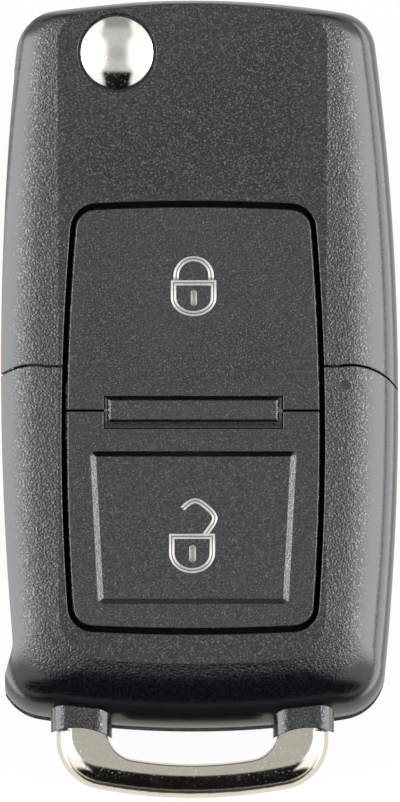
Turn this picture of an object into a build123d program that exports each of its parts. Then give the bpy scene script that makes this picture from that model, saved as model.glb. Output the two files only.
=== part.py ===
from build123d import *
import os
from math import cos, radians, sin, sqrt

# Folding key remote with two buttons, in millimetres.
# +X is to the right of the key face, +Y towards the blade pivot and +Z out of the key face.
# The origin is on the back face, on the case's centreline.

# Case form: its outline at the widest level, and the outline of the flat face
case_thickness = 16.0
case_half_width = 19.73
case_length_up = 38.26
case_length_down = 31.6
case_wall = 1.6
rolloff_angle = 80.0
rolloff_steps = 6
side_fullness = 4.0
widest_level = 1.4
head_narrowing = 2.58
head_corner_drop = 1.71
head_corner_radius = 3.8
foot_narrowing = 1.63
foot_corner_rise = 1.8
foot_corner_radius = 4.5
foot_rim = 0.3
parting_gap = 0.1
parting_depth = 0.6
face_narrowing = 6.98
face_edge_to_top = 0.46
face_edge_to_foot = 6.4
face_corner_widening = 0.15
face_corner_drop = 1.5
face_corner_radius = 2.8
face_foot_rise = 0.8
lip_inset = 1.44
lip_top_inset = 0.7
lip_scoop_inset = 0.96
lip_scoop_from_foot = 8.2
lip_foot_inset = 0.15
lip_foot_from_foot = 5.2
lip_corner_radius = 4.5
lip_scoop_radius = 3.0
lip_clear = 0.3

# Seam between the head and the remote section
seam_level = 3.17
seam_flat_inset = 5.73
seam_bend_inset = 1.53
seam_bend_drop = 0.83
seam_edge_outset = 0.67
seam_edge_drop = 3.77
seam_gap = 0.2
seam_step = 0.3

# Key panel, its groove and the two keys
panel_from_top = 19.81
panel_from_foot = 9.66
panel_margin = 0.65
panel_corner_inset = 1.0
panel_foot_inset = 0.7
panel_widest_level = -1.6
panel_crown = 0.35
panel_corner_radius = 2.0
panel_shift = 0.08
groove_width = 0.5
key_sink = 0.1
key_edge = 0.15
key_split_below_bridge_top = 1.2
key_split_gap = 0.2
key_travel = 0.45
key_shell = 1.2
flange_lip = 0.4
flange_thickness = 0.8
flange_play = 0.2
post_radius = 1.5
post_play = 0.3
bridge_end_inset = 3.9
bridge_top = 0.14
bridge_height = 2.3
bridge_ledge_side = 0.3
bridge_ledge_top = 0.1
bridge_ledge_bottom = 0.55
bridge_ledge_depth = 0.4
bridge_ledge_rise = 0.3
bridge_play = 0.08
bridge_edge = 0.25
scoop_below_bridge = 2.78
scoop_above_panel_foot = 2.44
scoop_top_inset = 2.26
scoop_foot_inset = 3.03
scoop_depth = 0.45
scoop_wall_angle = 48.0
scoop_corner_radius = 0.5

# Tray that carries the keys and slides into the head
tray_wall = 0.9
tray_floor = 0.8
tray_play = 0.15
gasket_thickness = 0.5
gasket_play = 0.15

# Blade, hub and pivot
pivot_from_side = 9.95
pivot_from_top = 5.16
blade_width = 8.8
blade_thickness = 2.3
blade_offset = 5.8
blade_tip_from_foot = 7.1
blade_root = 1.2
blade_tip_chamfer = 2.2
blade_groove_width = 3.0
blade_groove_depth = 0.55
blade_groove_offset = 1.2
blade_shoulder = 2.5
blade_edge = 0.25
channel_below_mid = 0.8
channel_height = 5.6
channel_side_play = 0.3
channel_end_play = 0.7
liner_wall = 1.1
hub_radius = 4.6
hub_play = 0.15
hub_well_radius = 3.49
hub_floor = 0.8
well_wall = 0.5
arm_half_width = 4.0
arm_length = 6.5
arm_root_play = 0.4
arm_corner_radius = 0.8
journal_radius = 3.0
journal_play = 0.04
journal_end_play = 0.3
boss_wall = 1.4
pin_radius = 0.8
pin_bore_radius = 0.35
pin_level = 4.0
pin_slit = 0.24

# Release button and its spring
button_radius = 3.45
button_crown = 1.0
button_rim = 0.15
button_travel = 1.6
button_play = 0.04
button_hole_radius = 3.75
button_hole_depth = 1.0
button_flange_radius = 4.0
button_flange_thickness = 1.0
button_skirt_play = 1.61
button_bore_radius = 3.0
button_roof = 2.4
spring_wire = 0.6
spring_radius = 2.55
spring_turns = 5

# Screw and transponder in the head
screw_from_side = 6.15
screw_from_top = 7.06
screw_radius = 0.95
screw_head_radius = 1.8
screw_head_height = 1.1
screw_length = 10.5
screw_sink = 0.3
screw_boss_radius = 2.4
screw_hole_play = 0.15
screw_slot_width = 0.4
screw_slot_depth = 0.5
screw_slot_reach = 1.1
transponder_length = 12.0
transponder_width = 6.0
transponder_height = 3.0
transponder_edge = 0.6
transponder_from_wall = 0.95
transponder_from_boss = 0.7
rib_thickness = 0.8
rib_height = 2.0
rib_gap_inset = 2.0
seat_play = 0.1

# Electronics in the remote section
board_thickness = 1.0
board_side_play = 0.5
board_right_inset = 4.13
board_from_foot = 5.8
board_below_seam = 0.97
board_tongue_half_width = 6.2
board_tongue_past_switch = 2.4
board_corner = 3.0
board_to_tray = 2.2
stud_radius = 1.1
stud_inset = 1.6
stud_from_bottom = 5.0
switch_size = 4.2
switch_height = 1.7
switch_edge = 0.4
plunger_radius = 0.9
plunger_height = 0.3
plunger_travel = 0.25
plunger_gap = 0.03
plunger_depth = 1.0
chip_length = 8.6
chip_width = 4.0
chip_height = 1.4
chip_from_right = 7.4
chip_from_bottom = 7.6
chip_edge = 0.2
chip_lift = 0.1
chip_pin_count = 7
chip_pitch = 1.27
chip_pin_width = 0.4
chip_pin_reach = 0.9
resonator_length = 3.8
resonator_width = 5.0
resonator_height = 1.3
resonator_corner = 0.5
resonator_past_chip = 8.0
coil_radius = 0.85
coil_length = 5.0
coil_past_resonator = 6.2
passive_length = 1.6
passive_width = 0.8
passive_height = 0.6
passive_gap = 0.8
passive_past_chip = 10.6
passive_beside_coil = 0.4
passive_columns = 2
passive_rows = 3
cell_radius = 10.0
cell_thickness = 3.2
cell_edge = 0.5
cell_cap_inset = 1.1
cell_cap_height = 0.48
cell_from_foot = 19.6
cell_side_gap = 0.2
cell_play = 0.15
cell_seat_height = 0.8
cell_seat_width = 2.0
cell_ring_wall = 0.85
cell_ring_height = 2.0
contact_thickness = 0.25
contact_width = 3.0
contact_tab = 2.5
contact_foot = 1.8
contact_run = 4.7
contact_play = 0.4

# Key ring loop and its collars
loop_inset = 5.05
loop_below_case = 6.66
loop_thickness = 5.2
loop_drop = 1.81
loop_corner_radius = 4.8
loop_facet_side_inset = 1.45
loop_facet_inset = 2.26
loop_facet_drop = 1.55
loop_facet_corner_radius = 3.0
loop_leg_width = 4.81
loop_bar_width = 3.16
loop_hole_drop = 1.0
loop_hole_corner_radius = 3.0
loop_foot_flare = 0.6
loop_foot_length = 2.4
loop_play = 0.05
loop_post_radius = 0.8
loop_lean = 78.0
loop_steps = 4
collar_wall = 0.5
collar_outer_reach = 0.3
collar_inner_reach = 0.85
collar_scallop = 0.75
collar_half_height = 5.0
collar_radius = 1.5

# Sizes that follow from the ones above
head_half_width = case_half_width - head_narrowing
foot_half_width = case_half_width - foot_narrowing
face_half_width = case_half_width - face_narrowing
face_corner_half_width = face_half_width + face_corner_widening
lip_half_width = case_half_width - lip_inset
lip_top_half_width = head_half_width - lip_top_inset
lip_scoop_half_width = foot_half_width - lip_scoop_inset
lip_foot_half_width = foot_half_width - lip_foot_inset
lip_scoop_level = lip_scoop_from_foot - case_length_down
lip_foot_level = lip_foot_from_foot - case_length_down
seam_flat_half_width = case_half_width - seam_flat_inset
seam_bend_half_width = case_half_width - seam_bend_inset
seam_edge_half_width = case_half_width + seam_edge_outset
panel_top = case_length_up - panel_from_top
panel_bottom = panel_from_foot - case_length_down
panel_half_width = face_half_width - panel_margin
panel_corner_half_width = panel_half_width - panel_corner_inset
panel_foot_half_width = panel_half_width - panel_foot_inset
key_split_level = bridge_top - key_split_below_bridge_top
bridge_half_length = panel_half_width - bridge_end_inset
bridge_bottom = bridge_top - bridge_height
scoop_top = bridge_bottom - scoop_below_bridge
scoop_bottom = panel_bottom + scoop_above_panel_foot
scoop_top_half_width = panel_half_width - scoop_top_inset
scoop_bottom_half_width = panel_half_width - scoop_foot_inset
pivot_x = pivot_from_side - head_half_width
pivot_y = case_length_up - pivot_from_top
blade_reach = pivot_y + case_length_down - blade_tip_from_foot
loop_half_width = foot_half_width - loop_inset
loop_reach = case_length_down + loop_below_case
loop_facet_half_width = loop_half_width - loop_facet_side_inset
loop_facet_reach = loop_reach - loop_facet_inset
loop_hole_half_width = loop_half_width - loop_leg_width
loop_hole_reach = loop_reach - loop_bar_width
mid_level = case_thickness / 2
channel_mid = mid_level - channel_below_mid
front_inside = case_thickness - case_wall
key_top = case_thickness - key_sink
flange_top = front_inside - flange_play
flange_bottom = flange_top - flange_thickness
gasket_top = flange_bottom - key_travel - gasket_play
tray_top = gasket_top - gasket_thickness
tray_bottom = tray_top - tray_floor
board_top_level = tray_bottom - board_to_tray
board_low_level = board_top_level - board_thickness
switch_top = board_top_level + switch_height
plunger_top = switch_top + plunger_height
post_bottom = plunger_top + key_travel - plunger_travel + plunger_gap
channel_low = channel_mid - channel_height / 2
channel_high = channel_mid + channel_height / 2
liner_low = channel_low - liner_wall
liner_high = channel_high + liner_wall
blade_x = pivot_x - blade_offset
channel_wall_x = blade_x + blade_width / 2 + channel_side_play
liner_x = channel_wall_x + liner_wall
channel_end = pivot_y - blade_reach - channel_end_play
swing_limit_x = pivot_x + blade_offset + blade_width / 2 + channel_side_play
hub_low = channel_low + hub_play
hub_high = channel_high - hub_play
journal_low = case_wall + journal_end_play
boss_radius = hub_radius + boss_wall
cell_low = case_wall + cell_seat_height
cell_high = cell_low + cell_thickness
tray_grow = groove_width + flange_lip + tray_play
button_top = case_thickness + button_crown
flange_roof = front_inside - case_wall + button_hole_depth
screw_x = head_half_width - screw_from_side
screw_y = case_length_up - screw_from_top
transponder_x = face_half_width - case_wall - transponder_from_wall - transponder_length / 2
transponder_y = (screw_y - screw_boss_radius - transponder_from_boss
                 - rib_thickness - seat_play - transponder_width / 2)
lock_switch_y = (panel_top + bridge_top) / 2
unlock_switch_y = (panel_bottom + bridge_bottom) / 2
board_left = liner_x + board_side_play
board_right = case_half_width - board_right_inset
board_top = seam_level - board_below_seam
board_bottom = board_from_foot - case_length_down
board_tongue_top = lock_switch_y + switch_size / 2 + board_tongue_past_switch
cell_x = liner_x + cell_side_gap + cell_ring_wall + cell_play + cell_radius
cell_y = cell_from_foot - case_length_down
chip_x = board_right - chip_from_right
chip_y = board_bottom + chip_from_bottom
loop_foot_low = case_wall - case_length_down
loop_foot_high = loop_foot_low + loop_foot_length

# Modelling aids: a reach past the whole case, and how far joined bodies run into each other
outer = 60.0
bite = 0.2


def lerp(start, end, share):
    return start + (end - start) * share


def prism(face, low, high):
    return extrude(Pos(0, 0, low) * face, amount=high - low, dir=(0, 0, 1))


def slab(x_low, x_high, y_low, y_high, z_low, z_high):
    middle = Pos((x_low + x_high) / 2, (y_low + y_high) / 2, (z_low + z_high) / 2)
    return middle * Box(x_high - x_low, y_high - y_low, z_high - z_low)


def disc(x, y, radius, low, high):
    return Pos(x, y, (low + high) / 2) * Cylinder(radius, high - low)


def grown(face, amount):
    return offset(face, amount=amount, kind=Kind.ARC if amount > 0 else Kind.INTERSECTION)


def barrel_outline(top, bulge, bottom, top_radius, bottom_radius):
    """Closed outline of four arcs with rounded corners, the same on both sides of X = 0."""
    top_mid, top_x, top_y = top
    bulge_x, bulge_y = bulge
    bottom_mid, bottom_x, bottom_y = bottom
    face = make_face([
        ThreePointArc((-top_x, top_y), (0, top_mid), (top_x, top_y)),
        ThreePointArc((top_x, top_y), (bulge_x, bulge_y), (bottom_x, bottom_y)),
        ThreePointArc((bottom_x, bottom_y), (0, bottom_mid), (-bottom_x, bottom_y)),
        ThreePointArc((-bottom_x, bottom_y), (-bulge_x, bulge_y), (-top_x, top_y)),
    ])
    face = fillet(face.vertices().sort_by(Axis.Y)[-2:], top_radius)
    return fillet(face.vertices().sort_by(Axis.Y)[:2], bottom_radius)


def case_section(angle, wall, rim):
    """Outline of the case at this angle of its roll-off, thinner all round by a wall.

    The two ends roll off as an ellipse, and the sides as a fuller curve that stays upright for longer.
    """
    share = (1 - cos(radians(angle))) / (1 - cos(radians(rolloff_angle)))
    level, top_level = sin(radians(angle)), sin(radians(rolloff_angle))
    inset = 1 - (1 - level ** side_fullness) ** (1 / side_fullness)
    side_share = inset / (1 - (1 - top_level ** side_fullness) ** (1 / side_fullness))
    top_mid = lerp(case_length_up, case_length_up - face_edge_to_top, share) - wall
    top_x = lerp(head_half_width, face_corner_half_width, side_share) - wall
    top_drop = lerp(head_corner_drop, face_corner_drop, share)
    bulge_x = lerp(case_half_width, face_half_width, side_share) - wall
    bottom_mid = lerp(-case_length_down - rim, face_edge_to_foot - case_length_down, share) + wall
    bottom_x = lerp(foot_half_width, face_half_width, side_share) - wall
    bottom_rise = lerp(foot_corner_rise, face_foot_rise, share)
    face = barrel_outline(
        (top_mid, top_x, top_mid - top_drop),
        (bulge_x, widest_level),
        (bottom_mid, bottom_x, bottom_mid + bottom_rise),
        lerp(head_corner_radius, face_corner_radius, share),
        foot_corner_radius,
    )
    return Pos(0, 0, mid_level + (mid_level - wall) * level / top_level) * face


def case_half(front, wall):
    """One half of the case form, from the parting level to its flat face."""
    rim = 0 if front else foot_rim
    angles = [rolloff_angle * step / rolloff_steps for step in range(rolloff_steps + 1)]
    half = loft([case_section(angle, wall, rim) for angle in angles])
    return half if front else mirror(half, about=Plane.XY.offset(mid_level))


def lip_region():
    """What is left of the case beside the blade: the left side is drawn in and has a thumb scoop."""
    top = case_length_up + lip_clear
    shoulder = (-lip_top_half_width, top - head_corner_drop)
    scoop = (-lip_scoop_half_width, lip_scoop_level)
    foot = (-lip_foot_half_width, lip_foot_level)
    face = make_face([
        ThreePointArc(shoulder, (-lip_half_width, widest_level), scoop),
        Polyline(scoop, foot, (-lip_foot_half_width, -outer), (outer, -outer), (outer, top), (0, top),
                 shoulder),
    ])
    face = fillet(face.vertices().sort_by_distance(shoulder)[0], lip_corner_radius)
    return fillet(face.vertices().sort_by_distance(scoop)[0], lip_scoop_radius)


def seam_region(front, shift):
    """The remote section's side of the seam, moved along Y. The rear seam lies a step lower."""
    level = seam_level + shift - (0 if front else seam_step)
    flat_left, flat_right = (-seam_flat_half_width, level), (seam_flat_half_width, level)
    bend_left = (-seam_bend_half_width, level - seam_bend_drop)
    bend_right = (seam_bend_half_width, level - seam_bend_drop)
    edge_left = (-seam_edge_half_width, level - seam_edge_drop)
    edge_right = (seam_edge_half_width, level - seam_edge_drop)
    return make_face([
        ThreePointArc(edge_left, bend_left, flat_left),
        Line(flat_left, flat_right),
        ThreePointArc(flat_right, bend_right, edge_right),
        Polyline(edge_right, (outer, level - seam_edge_drop), (outer, -outer), (-outer, -outer),
                 (-outer, level - seam_edge_drop), edge_left),
    ])


def panel_outline():
    face = barrel_outline(
        (panel_top, panel_corner_half_width, panel_top - panel_crown),
        (panel_half_width, panel_widest_level),
        (panel_bottom, panel_foot_half_width, panel_bottom + panel_crown),
        panel_corner_radius,
        panel_corner_radius,
    )
    return Pos(panel_shift, 0, 0) * face


def bridge_window(play):
    """Room for the bridge and its ledge, with this much play all round."""
    reach = bridge_half_length + bridge_ledge_side + play
    low, high = bridge_bottom - bridge_ledge_bottom - play, bridge_top + bridge_ledge_top + play
    return slab(panel_shift - reach, panel_shift + reach, low, high, gasket_top, outer)


def key_region(upper):
    """Half space of one key, up to half the gap between the keys."""
    if upper:
        return slab(-outer, outer, key_split_level + key_split_gap / 2, outer, 0, outer)
    return slab(-outer, outer, -outer, key_split_level - key_split_gap / 2, 0, outer)


def inner_end_wall(upper):
    """Wall under a key's inner end, which steps round the bridge's window."""
    side = 1 if upper else -1
    split_y = key_split_level + side * key_split_gap / 2
    window_y = bridge_top + bridge_ledge_top if upper else bridge_bottom - bridge_ledge_bottom
    window_y += side * bridge_play
    walls = None
    for edge_y in (split_y, window_y):
        near, far = sorted((edge_y, edge_y + side * key_shell))
        wall = slab(-panel_half_width, panel_half_width, near, far, flange_bottom, key_top - key_shell / 2)
        walls = wall if walls is None else walls + wall
    return walls


def make_key(upper, switch_y):
    """Key cap with a flange under the case front and a post that reaches its switch."""
    outline = panel_outline()
    cap = prism(outline, flange_bottom, key_top)
    cap = chamfer(cap.edges().group_by(Axis.Z)[-1], key_edge)
    flange = prism(grown(outline, groove_width + flange_lip), flange_bottom, flange_top)
    hollow = prism(grown(outline, -key_shell), 0, key_top - key_shell)
    key = (cap + flange - hollow) + inner_end_wall(upper)
    key = key & (key_region(upper) - bridge_window(bridge_play))
    return key + disc(0, switch_y, post_radius, post_bottom, key_top - key_shell / 2)


def make_lock_key():
    return make_key(True, lock_switch_y)


def make_unlock_key():
    """Lower key, with a shallow thumb recess that has sloping sides."""
    plan = make_face(Polyline(
        (-scoop_top_half_width, scoop_top),
        (scoop_top_half_width, scoop_top),
        (scoop_bottom_half_width, scoop_bottom),
        (-scoop_bottom_half_width, scoop_bottom),
        close=True,
    ))
    plan = fillet(plan.vertices(), scoop_corner_radius)
    recess = extrude(Pos(panel_shift, 0, key_top) * plan, amount=-scoop_depth, taper=scoop_wall_angle)
    return make_key(False, unlock_switch_y) - recess


def make_key_bridge():
    """Bar between the keys, on a ledge that slopes up to the lower key."""
    bar = slab(
        panel_shift - bridge_half_length, panel_shift + bridge_half_length,
        bridge_bottom, bridge_top, gasket_top, key_top,
    )
    bar = chamfer(bar.edges().group_by(Axis.Z)[-1], bridge_edge)
    low, high = bridge_bottom - bridge_ledge_bottom, bridge_top + bridge_ledge_top
    ledge = key_top - bridge_ledge_depth
    above = make_face(Plane.YZ * Polyline(
        (high, ledge), (bridge_bottom, ledge), (low, ledge + bridge_ledge_rise), (low, outer), (high, outer),
        close=True,
    ))
    base = bridge_window(0) - Pos(-outer / 2, 0, 0) * extrude(above, amount=outer, dir=(1, 0, 0))
    return bar + base


def make_key_gasket():
    """Silicone mat on the tray floor, open where the posts pass."""
    mat = prism(grown(panel_outline(), groove_width + flange_lip), tray_top, gasket_top)
    for switch_y in (lock_switch_y, unlock_switch_y):
        mat -= disc(0, switch_y, post_radius + post_play, 0, outer)
    return mat


def channel_void():
    """Slot for the folded blade, open to the left, and for its swing over the top of the head."""
    side = slab(-outer, channel_wall_x, channel_end, outer, channel_low, channel_high)
    top = slab(-outer, swing_limit_x, pivot_y, outer, channel_low, channel_high)
    drum = disc(pivot_x, pivot_y, hub_radius + hub_play, channel_low, channel_high)
    return side + top + drum


def channel_liner():
    """Walls round the blade slot."""
    side = slab(-outer, liner_x, channel_end - liner_wall, outer, liner_low, liner_high)
    top = slab(-outer, swing_limit_x + liner_wall, pivot_y - liner_wall, outer, liner_low, liner_high)
    return side + top + disc(pivot_x, pivot_y, boss_radius, 0, case_thickness)


def case_shell(front):
    """One hollow half of the whole case, with the blade slot's walls."""
    inside = case_half(front, case_wall) & prism(grown(lip_region(), -case_wall), 0, outer)
    shell = (case_half(front, 0) & prism(lip_region(), 0, outer)) - (inside - channel_liner())
    if front:
        land = case_half(True, parting_depth) & prism(grown(lip_region(), -parting_depth), 0, outer)
        shell -= slab(-outer, outer, -outer, outer, mid_level, mid_level + parting_gap) - land
    return shell - channel_void()


def loop_outline(share):
    """Outline of the loop, from its outer edge at share 0 to its flat facet at share 1."""
    return horseshoe(
        lerp(loop_half_width, loop_facet_half_width, share),
        lerp(loop_reach, loop_facet_reach, share),
        lerp(loop_drop, loop_facet_drop, share),
        lerp(loop_corner_radius, loop_facet_corner_radius, share),
    )


def horseshoe(half_width, reach, drop, radius):
    """Face with straight sides and a bowed lower end, up to the feet inside the case."""
    corner_y = drop - reach
    face = make_face([
        Polyline((-half_width, corner_y), (-half_width, loop_foot_low), (half_width, loop_foot_low),
                 (half_width, corner_y)),
        ThreePointArc((half_width, corner_y), (0, -reach), (-half_width, corner_y)),
    ])
    return fillet(face.vertices().sort_by(Axis.Y)[:2], radius)


def loop_legs(grow, y_low, y_high, half_height):
    """The pair of straight legs as blocks, for the loop's feet and the slots round them."""
    inner_x = loop_hole_half_width - grow
    outer_x = loop_half_width + grow
    low, high = mid_level - half_height, mid_level + half_height
    right = slab(inner_x, outer_x, y_low, y_high, low, high)
    return right + mirror(right, about=Plane.YZ)


def loop_post_places():
    x = (loop_hole_half_width + loop_half_width) / 2
    y = (loop_foot_low + loop_foot_high) / 2
    return [(-x, y), (x, y)]


def make_key_ring_loop():
    """Chrome loop: a rounded outer side, a flat facet on each face and two flared feet."""
    half = loop_thickness / 2
    sections = []
    for step in range(loop_steps + 1):
        lean = radians(loop_lean * step / loop_steps)
        share = (1 - cos(lean)) / (1 - cos(radians(loop_lean)))
        rise = half * sin(lean) / sin(radians(loop_lean))
        sections.append(Pos(0, 0, mid_level + rise) * loop_outline(share))
    upper = loft(sections)
    body = upper + mirror(upper, about=Plane.XY.offset(mid_level))
    hole = horseshoe(loop_hole_half_width, loop_hole_reach, loop_hole_drop, loop_hole_corner_radius)
    body -= prism(hole, 0, outer)
    body += loop_legs(loop_foot_flare, loop_foot_low, loop_foot_high, half)
    for x, y in loop_post_places():
        body -= disc(x, y, loop_post_radius + loop_play, 0, outer)
    return body


def collar(side):
    """One collar round a leg of the loop, with a scalloped end."""
    inner_x = side * (loop_hole_half_width - collar_wall)
    outer_x = side * (loop_half_width + collar_wall)
    inner_y = -case_length_down - collar_inner_reach
    outer_y = -case_length_down - collar_outer_reach
    middle = ((inner_x + outer_x) / 2, (inner_y + outer_y) / 2 + collar_scallop)
    block = slab(min(inner_x, outer_x), max(inner_x, outer_x), inner_y, loop_foot_high,
                 mid_level - collar_half_height, mid_level + collar_half_height)
    block = fillet(block.edges().filter_by(Axis.Y), collar_radius)
    plan = make_face([
        ThreePointArc((inner_x, inner_y), middle, (outer_x, outer_y)),
        Polyline((outer_x, outer_y), (outer_x, loop_foot_high), (inner_x, loop_foot_high),
                 (inner_x, inner_y)),
    ])
    return block & prism(plan, 0, outer)


def collars(front):
    """This half's share of the two collars."""
    low, high = (mid_level, outer) if front else (0, mid_level)
    return (collar(-1) + collar(1)) & slab(-outer, outer, -outer, outer, low, high)


def loop_slots():
    """Room for the legs in the end wall and for the flared feet behind it."""
    half = loop_thickness / 2 + loop_play
    legs = loop_legs(loop_play, -outer, loop_foot_low, half)
    grow = loop_play + loop_foot_flare
    return legs + loop_legs(grow, loop_foot_low - loop_play, loop_foot_high + loop_play, half)


def tray_block(grow):
    """Block under the key panel, up to the inside of the case front."""
    return prism(grown(panel_outline(), tray_grow + tray_wall + grow), tray_bottom - grow, front_inside)


def make_head_front():
    """Upper half of the head, with the button hole and the notch for the key panel."""
    shell = case_shell(True)
    head = shell - prism(seam_region(True, seam_gap / 2), 0, outer)
    boss = disc(screw_x, screw_y, screw_boss_radius, mid_level, front_inside + bite)
    head += boss - disc(screw_x, screw_y, screw_radius, 0, case_wall + screw_length)
    head -= tray_block(tray_play)
    head -= prism(grown(panel_outline(), groove_width), 0, outer)
    head -= disc(pivot_x, pivot_y, button_hole_radius, case_thickness - button_hole_depth, outer)
    head -= disc(pivot_x, pivot_y, button_radius + button_play, channel_mid, outer)
    head -= disc(pivot_x, pivot_y, button_flange_radius + button_play, channel_mid, flange_roof)
    return head


def make_head_rear():
    """Lower half of the head, with the hub bearing, the screw boss and the transponder ribs."""
    head = case_shell(False) - prism(seam_region(False, seam_gap / 2), 0, outer)
    head += disc(screw_x, screw_y, screw_boss_radius, case_wall - bite, mid_level)
    head -= disc(screw_x, screw_y, screw_radius + screw_hole_play, 0, outer)
    sink = Pos(screw_x, screw_y, screw_sink) * Cone(
        screw_head_radius, screw_radius, screw_head_height, align=(Align.CENTER, Align.CENTER, Align.MIN))
    head -= sink + disc(screw_x, screw_y, screw_head_radius, 0, screw_sink)
    head -= disc(pivot_x, pivot_y, journal_radius + journal_play, journal_low - seat_play, channel_mid)
    half_x = transponder_length / 2 + seat_play
    half_y = transponder_width / 2 + seat_play
    fence = slab(
        transponder_x - half_x - rib_thickness, transponder_x + half_x + rib_thickness,
        transponder_y - half_y - rib_thickness, transponder_y + half_y + rib_thickness,
        case_wall - bite, case_wall + rib_height,
    )
    pocket = slab(transponder_x - half_x, transponder_x + half_x,
                  transponder_y - half_y, transponder_y + half_y, case_wall, outer)
    gap = slab(transponder_x - half_x + rib_gap_inset, transponder_x + half_x - rib_gap_inset,
               -outer, outer, case_wall, outer)
    return head + (fence - pocket - gap)


def make_head_screw():
    head = Pos(screw_x, screw_y, screw_sink) * Cone(
        screw_head_radius, screw_radius, screw_head_height, align=(Align.CENTER, Align.CENTER, Align.MIN))
    shank = disc(screw_x, screw_y, screw_radius, screw_sink, screw_length)
    reach, half, floor = screw_slot_reach, screw_slot_width / 2, screw_sink + screw_slot_depth
    cross = slab(screw_x - reach, screw_x + reach, screw_y - half, screw_y + half, 0, floor)
    cross += slab(screw_x - half, screw_x + half, screw_y - reach, screw_y + reach, 0, floor)
    return head + shank - cross


def make_transponder():
    block = slab(
        transponder_x - transponder_length / 2, transponder_x + transponder_length / 2,
        transponder_y - transponder_width / 2, transponder_y + transponder_width / 2,
        case_wall, case_wall + transponder_height,
    )
    return chamfer(block.edges().filter_by(Axis.Z), transponder_edge)


def blade_plan():
    """Outline of the folded blade, with its tip corners cut off and its root hollowed round the well."""
    left = blade_x - blade_width / 2
    right = blade_x + blade_width / 2
    top = pivot_y - blade_root
    tip = pivot_y - blade_reach
    plan = make_face(Polyline(
        (left, top), (right, top), (right, tip + blade_tip_chamfer),
        (right - blade_tip_chamfer, tip), (left + blade_tip_chamfer, tip),
        (left, tip + blade_tip_chamfer), close=True,
    ))
    return plan - Pos(pivot_x, pivot_y, 0) * Circle(hub_well_radius + well_wall)


def make_blade():
    """Uncut steel blank with a long groove in each face."""
    low = channel_mid - blade_thickness / 2
    high = channel_mid + blade_thickness / 2
    blank = prism(blade_plan(), low, high)
    blank = chamfer(blank.edges().filter_by(Axis.Y), blade_edge)
    groove_top = pivot_y - blade_root - arm_length - blade_shoulder
    for level, side in ((high, 1), (low, -1)):
        middle_x = blade_x - side * blade_groove_offset
        blank -= slab(
            middle_x - blade_groove_width / 2, middle_x + blade_groove_width / 2,
            -outer, groove_top, level - blade_groove_depth, level + blade_groove_depth,
        )
    return blank - disc(blade_x, pivot_y - pin_level, pin_radius, 0, outer)


def make_blade_hub():
    """Drum with the spring well, the journal below it and the arm that grips the blade root."""
    hub = disc(pivot_x, pivot_y, hub_radius, hub_low, hub_high)
    hub += slab(
        blade_x - arm_half_width, blade_x + arm_half_width,
        pivot_y - arm_length, pivot_y - arm_root_play, hub_low, hub_high,
    )
    hub = fillet(hub.edges().filter_by(Axis.Z).sort_by(Axis.Y)[:2], arm_corner_radius)
    hub += disc(pivot_x, pivot_y, journal_radius, journal_low, hub_low + bite)
    hub -= disc(pivot_x, pivot_y, hub_well_radius, hub_low + hub_floor, outer)
    half = blade_thickness / 2
    hub -= prism(blade_plan(), channel_mid - half, channel_mid + half)
    return hub - disc(blade_x, pivot_y - pin_level, pin_radius, 0, outer)


def make_blade_pin():
    """Roll pin through the arm, open along one side."""
    pin_y = pivot_y - pin_level
    pin = disc(blade_x, pin_y, pin_radius, hub_low, hub_high) - disc(blade_x, pin_y, pin_bore_radius, 0, outer)
    return pin - slab(blade_x, outer, pin_y - pin_slit / 2, pin_y + pin_slit / 2, 0, outer)


def make_release_button():
    """Domed chrome button: a hollow skirt that slides in the hub, and a flange that keeps it in."""
    rim = button_top - button_crown + button_rim
    flange_high = flange_roof - button_play
    flange_low = flange_high - button_flange_thickness
    skirt_low = hub_low + hub_floor + button_travel + button_skirt_play
    roof = button_top - button_roof
    dome_height = button_top - rim
    dome_radius = (button_radius ** 2 + dome_height ** 2) / (2 * dome_height)
    dome_middle = button_top - dome_radius + sqrt(dome_radius ** 2 - (button_radius / 2) ** 2)
    profile = make_face([
        Polyline(
            (0, button_top), (0, roof), (button_bore_radius, roof), (button_bore_radius, skirt_low),
            (button_radius, skirt_low), (button_radius, flange_low), (button_flange_radius, flange_low),
            (button_flange_radius, flange_high), (button_radius, flange_high), (button_radius, rim),
        ),
        ThreePointArc((button_radius, rim), (button_radius / 2, dome_middle), (0, button_top)),
    ])
    return Pos(pivot_x, pivot_y, 0) * revolve(Plane.XZ * profile, Axis.Z)


def make_flip_spring():
    """Coil between the hub floor and the roof of the button's bore."""
    low = hub_low + hub_floor + spring_wire / 2
    high = button_top - button_roof - spring_wire / 2
    height = high - low
    path = Helix(pitch=height / spring_turns, height=height, radius=spring_radius)
    start = Plane(origin=path @ 0, z_dir=path % 0)
    coil = sweep(start * Circle(spring_wire / 2), path=path)
    return Pos(pivot_x, pivot_y, low) * coil


def make_remote_front():
    """Upper half of the remote section, with the key window, the key tray and the board's studs."""
    below = prism(seam_region(True, -seam_gap / 2), 0, outer)
    shell = (case_shell(True) + collars(True)) & below
    tray = tray_block(0)
    tongue_limit = slab(-outer, outer, -outer, outer, 0, front_inside - flange_play)
    body = shell + (tray & below) + (tray & tongue_limit)
    body -= prism(grown(panel_outline(), tray_grow), tray_top, front_inside)
    body -= prism(grown(panel_outline(), groove_width), tray_top, outer)
    for switch_y in (lock_switch_y, unlock_switch_y):
        body -= disc(0, switch_y, post_radius + post_play, 0, gasket_top)
    for x, y in board_stud_places():
        body += disc(x, y, stud_radius, board_top_level, tray_bottom + bite)
    body -= loop_slots()
    for x, y in loop_post_places():
        body += disc(x, y, loop_post_radius, mid_level - loop_thickness / 2,
                     mid_level + loop_thickness / 2 + collar_radius)
    return body


def board_stud_places():
    """Where the board is held between a stud above and a post below."""
    left, right = board_left + stud_inset, board_right - stud_inset
    high = board_top - stud_inset
    low = board_bottom + stud_from_bottom
    return [(left, high), (right, high), (left, low), (right, low)]


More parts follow.
